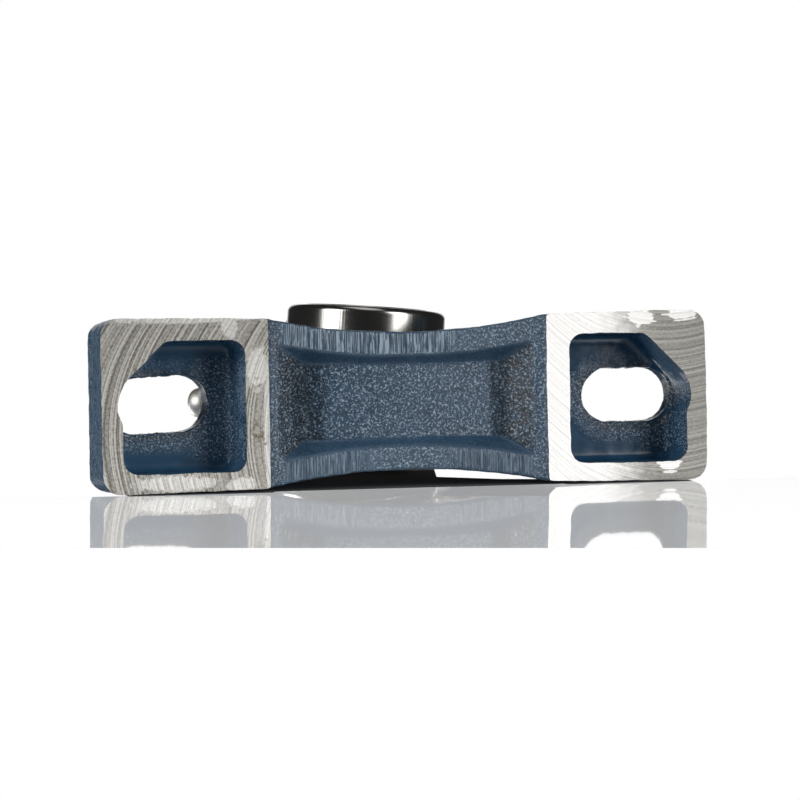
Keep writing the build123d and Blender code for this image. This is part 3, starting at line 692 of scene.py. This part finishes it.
# ---- Cage ------------------------------------------------------------------
# One snap cage of glass-filled polyamide, moulded, its fingers hooked past
# the balls.
nylon = Finish("glass_filled_nylon")
fibres = nylon.spread(nylon.grain(0.0004, 2, place=nylon.moved(stretch=(1, 0.25, 1))), 0.35, 0.70)
nylon.wear(Base_Color=nylon.blend(fibres, (0.50, 0.42, 0.28), (0.62, 0.54, 0.39)), IOR=1.53,
           Roughness=nylon.spread(nylon.grain(0.0012, 2), 0.3, 0.7, 0.38, 0.58),
           Normal=nylon.relief(fibres, 0.00003))
dress("cage", nylon)

# ---- Inner ring ------------------------------------------------------------
# Hardened steel, ground on its outside round and round, and clamped to the
# shaft by two screws through its long end.
ground = Finish("ground_inner_ring")
grinding = wheel_marks(ground, 0.00025)
chatter = ground.lines(about_shaft(ground)[2], 0.022, 3.0)
ground.wear(Base_Color=ground.blend(grinding, (0.34, 0.33, 0.31), (0.46, 0.45, 0.43)), Metallic=1.0,
            Roughness=ground.spread(ground.grain(0.004, 3), 0.3, 0.7, 0.14, 0.18),
            Normal=ground.relief(ground.total(ground.product(grinding, 0.1), chatter), 0.000012))
dress("inner_ring", ground)

# ---- Seals -----------------------------------------------------------------
# At each end a washer pressed from thin sheet holds the seal in the outer
# ring, with a black rubber lip bonded on that wipes the inner ring.
pressed = Finish("pressed_sheet")
draw_marks = pressed.lines(about_shaft(pressed)[1], 0.00028, 2.0)
dirt = pressed.spread(pressed.grain(0.0028, 4), 0.50, 0.75)
clean_sheet = pressed.blend(draw_marks, (0.40, 0.41, 0.42), (0.58, 0.59, 0.60))
pressed.wear(Base_Color=pressed.blend(dirt, clean_sheet, (0.22, 0.20, 0.17)),
             Metallic=pressed.spread(dirt, 0, 1, 1.0, 0.6), Roughness=pressed.spread(dirt, 0, 1, 0.28, 0.50),
             Normal=pressed.relief(draw_marks, 0.00001))
rubber = Finish("nitrile_rubber")
mould_lines = rubber.lines(about_shaft(rubber)[1], 0.0004, 1.0)
bloom = rubber.spread(rubber.grain(0.0030, 3), 0.40, 0.75)
rubber.wear(Base_Color=rubber.blend(bloom, (0.018, 0.018, 0.019), (0.050, 0.048, 0.045)),
            Roughness=rubber.spread(bloom, 0, 1, 0.42, 0.68), Normal=rubber.relief(mould_lines, 0.00002))
for end in ("front", "rear"):
    dress(f"seal_shell_{end}", pressed)
    dress(f"seal_lip_{end}", rubber)

# ---- Flingers --------------------------------------------------------------
# A disc of the same thin sheet, zinc plated, is pressed on the inner ring
# outside each seal and turns with it.
plated = Finish("plated_disc")
rings = plated.lines(about_shaft(plated)[1], 0.00035, 2.0)
tarnish = plated.spread(plated.grain(0.0045, 3), 0.42, 0.72)
clean_zinc = plated.blend(rings, (0.52, 0.53, 0.54), (0.68, 0.69, 0.70))
plated.wear(Base_Color=plated.blend(tarnish, clean_zinc, (0.46, 0.43, 0.36)), Metallic=1.0,
            Roughness=plated.spread(tarnish, 0, 1, 0.22, 0.36), Normal=plated.relief(rings, 0.000012))
for end in ("front", "rear"):
    dress(f"flinger_{end}", plated)

# ---- Set screws ------------------------------------------------------------
# Two socket screws of hardened steel with cup points, blackened, worn to
# bright steel in patches by the key.
blackened = Finish("black_oxide")
oil = blackened.spread(blackened.grain(0.0011, 3), 0.40, 0.65)
worn = blackened.spread(blackened.grain(0.0007, 4), 0.60, 0.72)
whole_oxide = blackened.blend(oil, (0.030, 0.030, 0.033), (0.065, 0.062, 0.060))
blackened.wear(Base_Color=blackened.blend(worn, whole_oxide, (0.36, 0.35, 0.34)), Metallic=0.9,
               Roughness=blackened.spread(oil, 0, 1, 0.30, 0.48), Normal=blackened.relief(oil, 0.00002))
for side in ("left", "right"):
    dress(f"set_screw_{side}", blackened)

# ---- Grease nipple ---------------------------------------------------------
# Turned from free-cutting steel bar with a hexagon milled on it, zinc plated
# and screwed into the head.  A ball on a wire spring closes its mouth.
turned_zinc = Finish("turned_zinc")
x, y, z = turned_zinc.axes(turned_zinc.moved(shift=(0, 0, -shaft_height)))
up_nipple = turned_zinc.product(turned_zinc.minus(z, x), math.sqrt(0.5))
tool_marks = turned_zinc.lines(up_nipple, 0.00018, 2.0)
tint = turned_zinc.spread(turned_zinc.grain(0.0030, 2), 0.35, 0.70)
turned_zinc.wear(Base_Color=turned_zinc.blend(tint, (0.62, 0.64, 0.66), (0.66, 0.63, 0.53)), Metallic=1.0,
                 Roughness=turned_zinc.spread(tool_marks, 0.3, 0.7, 0.40, 0.50),
                 Normal=turned_zinc.relief(tool_marks, 0.00001))
dress("nipple_body", turned_zinc)
dress("nipple_ball", lapped)

# The spring is wound from round wire.
spring_wire, coil_radius, coil_count = 0.0003, 0.0008, 10
spring_top, spring_length = 0.04048, 0.0050
steps = 24 * coil_count
wire = bmesh.new()
section_place = Matrix.Translation((coil_radius, 0, 0)) @ Matrix.Rotation(math.pi / 2, 4, "X")
section = bmesh.ops.create_circle(wire, segments=10, radius=spring_wire / 2, matrix=section_place)
bmesh.ops.spin(wire, geom=section["verts"] + list(wire.edges), axis=(0, 0, 1), cent=(0, 0, 0),
               dvec=(0, 0, (spring_length - spring_wire) / steps), angle=2 * math.pi * coil_count, steps=steps)
bmesh.ops.holes_fill(wire, edges=[edge for edge in wire.edges if edge.is_boundary])
bmesh.ops.recalc_face_normals(wire, faces=wire.faces)
spring_foot = Matrix.Translation((0, 0, spring_top - spring_length + spring_wire / 2))
bmesh.ops.transform(wire, verts=wire.verts, matrix=along_nipple @ spring_foot)
for face in wire.faces:
    face.smooth = True
spring_mesh = bpy.data.meshes.new("valve_spring")
wire.to_mesh(spring_mesh)
wire.free()
spring = place_object(spring_mesh, "valve_spring")
drawn_wire = Finish("drawn_spring_wire")
scale = drawn_wire.spread(drawn_wire.grain(0.0006, 2), 0.4, 0.7)
drawn_wire.wear(Base_Color=drawn_wire.blend(scale, (0.52, 0.52, 0.52), (0.38, 0.36, 0.33)), Metallic=1.0,
                Roughness=drawn_wire.spread(scale, 0, 1, 0.25, 0.40), Normal=drawn_wire.relief(scale, 0.00001))
spring.data.materials.append(drawn_wire.material)
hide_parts("nipple_spring")
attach(spring, "nipple_valve")
